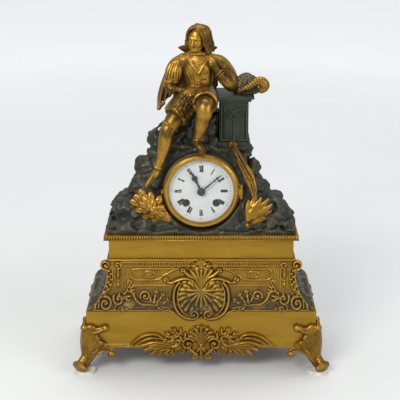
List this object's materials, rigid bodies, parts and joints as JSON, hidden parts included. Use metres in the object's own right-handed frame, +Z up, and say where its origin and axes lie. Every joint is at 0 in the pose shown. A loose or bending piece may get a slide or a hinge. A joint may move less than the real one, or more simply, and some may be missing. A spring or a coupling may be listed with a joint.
{
  "type": "figural mantel clock",
  "caption": "Figural mantel clock: seated figure with a pedestal on a rock mound round a hinged dial, with striking movement, on a stepped scroll-footed base.",
  "frame": {"origin": "bottom centre of the clock, between the four foot pads on the shelf", "axes": "+Z up, -Y towards the viewer of the dial, +X to the viewer's right"},
  "size_m": [0.3408, 0.1748, 0.447],
  "materials": {
    "gilt": "burnished and matt gilding with brown patina",
    "patina": "dark green and brown bronze patina",
    "brass": "polished",
    "bell_metal": "turned",
    "steel": "bright",
    "blued_steel": "blued nearly black",
    "enamel": "glossy white enamel",
    "glass": "clear",
    "pad": "pale stone"
  },
  "bodies": {
    "case": {"lower_plinth": "gilt", "middle_plinth": "gilt", "upper_plinth": "gilt", "gadroon_moulding": "gilt", "front_panel": "gilt", "side_panels": "gilt", "apron_mount": "gilt", "tie_rods": "steel", "foot_front_right": "gilt", "foot_front_left": "gilt", "foot_back_right": "gilt", "foot_back_left": "gilt", "foot_pads": "pad", "rock_mound": "patina", "pedestal": "patina", "hat": "patina", "hat_plume": "gilt", "figure_torso": "gilt", "figure_head": "gilt", "figure_arm_left": "gilt", "figure_arm_right": "gilt", "figure_leg_left": "gilt", "figure_leg_right": "gilt", "figure_cape": "gilt", "foliage_left": "gilt", "leaf_spray_right": "gilt", "front_ring": "brass", "dial": "enamel", "rear_ring": "brass", "case_straps": "brass", "front_plate": "brass", "back_plate": "brass", "bell": "bell_metal", "bell_stand": "steel"},
    "bezel": {"bezel_door": "gilt", "bezel_glass": "glass"},
    "back_cover": {"back_door": "brass"},
    "going_barrel": {"going_barrel": "brass"},
    "going_winding": {"going_winding_arbor": "steel"},
    "going_click": {"going_click": "steel"},
    "intermediate": {"intermediate_wheel": "brass"},
    "centre": {"centre_wheel": "brass"},
    "third": {"third_wheel": "brass"},
    "escape": {"escape_wheel": "brass"},
    "anchor": {"anchor": "steel"},
    "pendulum": {"pendulum": "brass"},
    "minute_pipe": {"cannon_pinion": "brass", "minute_hand": "blued_steel"},
    "minute_wheel": {"minute_wheel": "brass"},
    "hour_pipe": {"hour_wheel": "brass", "hour_hand": "blued_steel"},
    "strike_barrel": {"strike_barrel": "brass"},
    "strike_winding": {"strike_winding_arbor": "steel"},
    "strike_click": {"strike_click": "steel"},
    "second": {"strike_second_wheel": "brass"},
    "pin": {"pin_wheel": "brass"},
    "warning": {"warning_wheel": "brass"},
    "fly": {"fly": "brass"},
    "count_lever": {"count_lever": "steel"},
    "hammer": {"hammer": "steel"}
  },
  "joints": [
    {"name": "bezel_hinge", "type": "hinge", "parent": "case", "child": "bezel", "pos_m": [0.05125, -0.03899, 0.239], "axis": [0, 0, 1], "range_deg": [0, 90]},
    {"name": "back_door_hinge", "type": "hinge", "parent": "case", "child": "back_cover", "pos_m": [0.05125, 0.04971, 0.239], "axis": [0, 0, -1], "range_deg": [0, 110]},
    {"name": "minute_hand_turn", "type": "hinge", "parent": "case", "child": "minute_pipe", "pos_m": [0, 0, 0.239], "axis": [0, 1, 0], "continuous": true},
    {"name": "minute_wheel_turn", "type": "hinge", "parent": "case", "child": "minute_wheel", "pos_m": [0, 0, 0.24908], "axis": [0, 1, 0], "continuous": true},
    {"name": "hour_hand_turn", "type": "hinge", "parent": "case", "child": "hour_pipe", "pos_m": [0, 0, 0.239], "axis": [0, 1, 0], "continuous": true},
    {"name": "centre_turn", "type": "hinge", "parent": "case", "child": "centre", "pos_m": [0, 0, 0.239], "axis": [0, 1, 0], "continuous": true},
    {"name": "intermediate_turn", "type": "hinge", "parent": "case", "child": "intermediate", "pos_m": [0.01471, 0, 0.24249], "axis": [0, 1, 0], "continuous": true},
    {"name": "going_barrel_turn", "type": "hinge", "parent": "case", "child": "going_barrel", "pos_m": [0.0195, 0, 0.223], "axis": [0, 1, 0], "continuous": true},
    {"name": "third_turn", "type": "hinge", "parent": "case", "child": "third", "pos_m": [-0.00848, 0, 0.25026], "axis": [0, 1, 0], "continuous": true},
    {"name": "escape_turn", "type": "hinge", "parent": "case", "child": "escape", "pos_m": [0, 0, 0.259], "axis": [0, 1, 0], "continuous": true},
    {"name": "pendulum_swing", "type": "hinge", "parent": "case", "child": "pendulum", "pos_m": [0, 0.02, 0.275], "axis": [0, 1, 0], "range_deg": [-3.5, 3.5]},
    {"name": "anchor_swing", "type": "hinge", "parent": "case", "child": "anchor", "pos_m": [0, 0, 0.275], "axis": [0, 1, 0], "range_deg": [-3.5, 3.5]},
    {"name": "going_winding_turn", "type": "hinge", "parent": "case", "child": "going_winding", "pos_m": [0.0195, 0, 0.223], "axis": [0, 1, 0], "continuous": true},
    {"name": "strike_winding_turn", "type": "hinge", "parent": "case", "child": "strike_winding", "pos_m": [-0.0195, 0, 0.223], "axis": [0, 1, 0], "continuous": true},
    {"name": "pin_wheel_turn", "type": "hinge", "parent": "case", "child": "pin", "pos_m": [-0.0198, 0, 0.25632], "axis": [0, 1, 0], "continuous": true},
    {"name": "second_wheel_turn", "type": "hinge", "parent": "case", "child": "second", "pos_m": [-0.02401, 0, 0.24255], "axis": [0, 1, 0], "continuous": true},
    {"name": "strike_barrel_turn", "type": "hinge", "parent": "case", "child": "strike_barrel", "pos_m": [-0.0195, 0, 0.223], "axis": [0, 1, 0], "continuous": true},
    {"name": "warning_turn", "type": "hinge", "parent": "case", "child": "warning", "pos_m": [-0.01222, 0, 0.2639], "axis": [0, 1, 0], "continuous": true},
    {"name": "fly_turn", "type": "hinge", "parent": "case", "child": "fly", "pos_m": [-0.01717, 0, 0.2698], "axis": [0, 1, 0], "continuous": true},
    {"name": "hammer_swing", "type": "hinge", "parent": "case", "child": "hammer", "pos_m": [-0.03113, 0, 0.2608], "axis": [0, 1, 0], "range_deg": [0, 10], "stiffness_Nm_per_rad": 0.002},
    {"name": "count_lever_lift", "type": "hinge", "parent": "case", "child": "count_lever", "pos_m": [-0.03767, 0, 0.24909], "axis": [0, -1, 0], "range_deg": [0, 12]},
    {"name": "going_click_rock", "type": "hinge", "parent": "case", "child": "going_click", "pos_m": [0.02796, 0, 0.22608], "axis": [0, 1, 0], "range_deg": [-10, 10]},
    {"name": "strike_click_rock", "type": "hinge", "parent": "case", "child": "strike_click", "pos_m": [-0.02796, 0, 0.22608], "axis": [0, 1, 0], "range_deg": [-10, 10]}
  ],
  "couplings": [
    {"joint": "minute_wheel_turn", "follows": "minute_hand_turn", "ratio": -0.33333},
    {"joint": "hour_hand_turn", "follows": "minute_hand_turn", "ratio": 0.083333},
    {"joint": "intermediate_turn", "follows": "centre_turn", "ratio": -0.125},
    {"joint": "going_barrel_turn", "follows": "centre_turn", "ratio": 0.020833},
    {"joint": "third_turn", "follows": "centre_turn", "ratio": -12},
    {"joint": "escape_turn", "follows": "centre_turn", "ratio": 132},
    {"joint": "anchor_swing", "follows": "pendulum_swing", "ratio": 1},
    {"joint": "second_wheel_turn", "follows": "pin_wheel_turn", "ratio": -0.11111},
    {"joint": "strike_barrel_turn", "follows": "pin_wheel_turn", "ratio": 0.018519},
    {"joint": "warning_turn", "follows": "pin_wheel_turn", "ratio": -8},
    {"joint": "fly_turn", "follows": "pin_wheel_turn", "ratio": 56}
  ]
}
